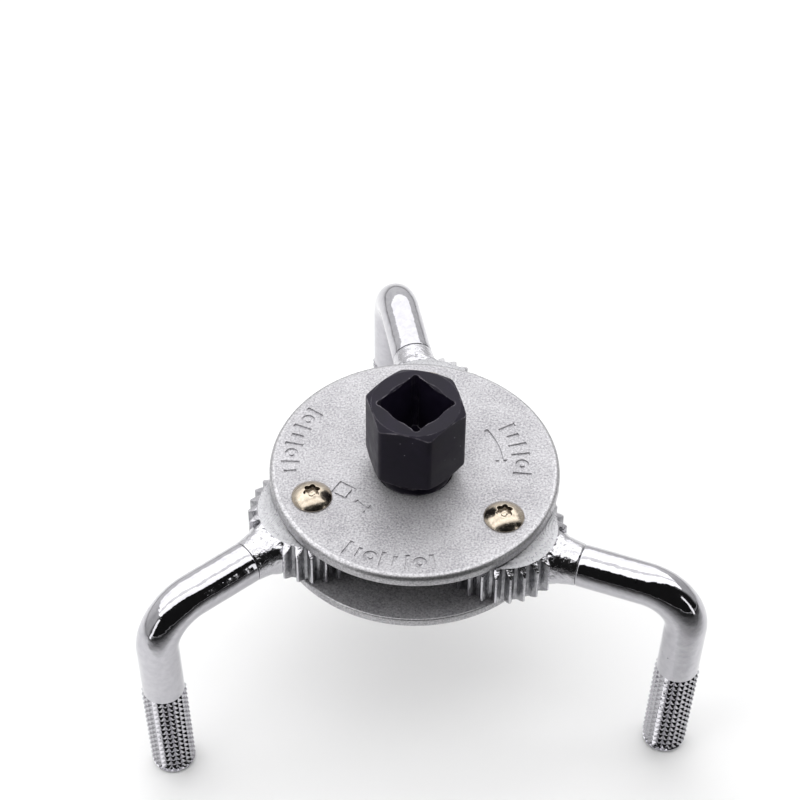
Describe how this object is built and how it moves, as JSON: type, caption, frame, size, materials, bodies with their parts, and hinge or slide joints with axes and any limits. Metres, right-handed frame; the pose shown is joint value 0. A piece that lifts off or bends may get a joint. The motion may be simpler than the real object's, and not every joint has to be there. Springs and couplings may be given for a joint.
{
  "type": "oil filter wrench",
  "caption": "Gear-coupled oil filter wrench: round plates carry bent knurled legs that swing together when the hex-and-square drive spindle turns.",
  "frame": {"origin": "centre of the drive spindle's lower end face, on the spindle's axis", "axes": "+Z along the spindle's axis from the legs' side towards the drive socket; +Y points at the first leg's pivot"},
  "size_m": [0.1306, 0.1255, 0.0861],
  "materials": {
    "plate": "blasted steel with satin nickel plating, fine grain",
    "spindle": "matt black phosphate on steel",
    "hardware": "turned bare steel, lightly oiled",
    "screw": "warm polished nickel",
    "gear": "nickel plating over turned faces and forged necks",
    "leg": "mirror chrome rod with a knurled end"
  },
  "bodies": {
    "carrier": {"top_plate": "plate", "bottom_plate": "plate", "pivot_post_1": "hardware", "pivot_post_2": "hardware", "pivot_post_3": "hardware", "top_screw_1": "screw", "top_screw_2": "screw", "top_screw_3": "screw", "bottom_screw_1": "screw", "bottom_screw_2": "screw", "bottom_screw_3": "screw"},
    "drive": {"drive_spindle": "spindle", "sun_gear": "hardware", "retaining_ring": "hardware"},
    "arm_1": {"leg_gear_1": "gear", "leg_1": "leg"},
    "arm_2": {"leg_gear_2": "gear", "leg_2": "leg"},
    "arm_3": {"leg_gear_3": "gear", "leg_3": "leg"}
  },
  "joints": [
    {"name": "arm_1_swing", "type": "hinge", "parent": "carrier", "child": "arm_1", "pos_m": [0, 0.026, 0.0119], "axis": [0, 0, 1], "range_deg": [-129.5, 94.5]},
    {"name": "arm_2_swing", "type": "hinge", "parent": "carrier", "child": "arm_2", "pos_m": [-0.02252, -0.013, 0.0119], "axis": [0, 0, 1], "range_deg": [-129.5, 94.5]},
    {"name": "arm_3_swing", "type": "hinge", "parent": "carrier", "child": "arm_3", "pos_m": [0.02252, -0.013, 0.0119], "axis": [0, 0, 1], "range_deg": [-129.5, 94.5]},
    {"name": "drive_turn", "type": "hinge", "parent": "carrier", "child": "drive", "pos_m": [0, 0, 0.0119], "axis": [0, 0, 1], "range_deg": [-110.3, 151.2]}
  ],
  "couplings": [
    {"joint": "arm_2_swing", "follows": "arm_1_swing", "ratio": 1},
    {"joint": "arm_3_swing", "follows": "arm_1_swing", "ratio": 1},
    {"joint": "drive_turn", "follows": "arm_1_swing", "ratio": -1.1667}
  ]
}
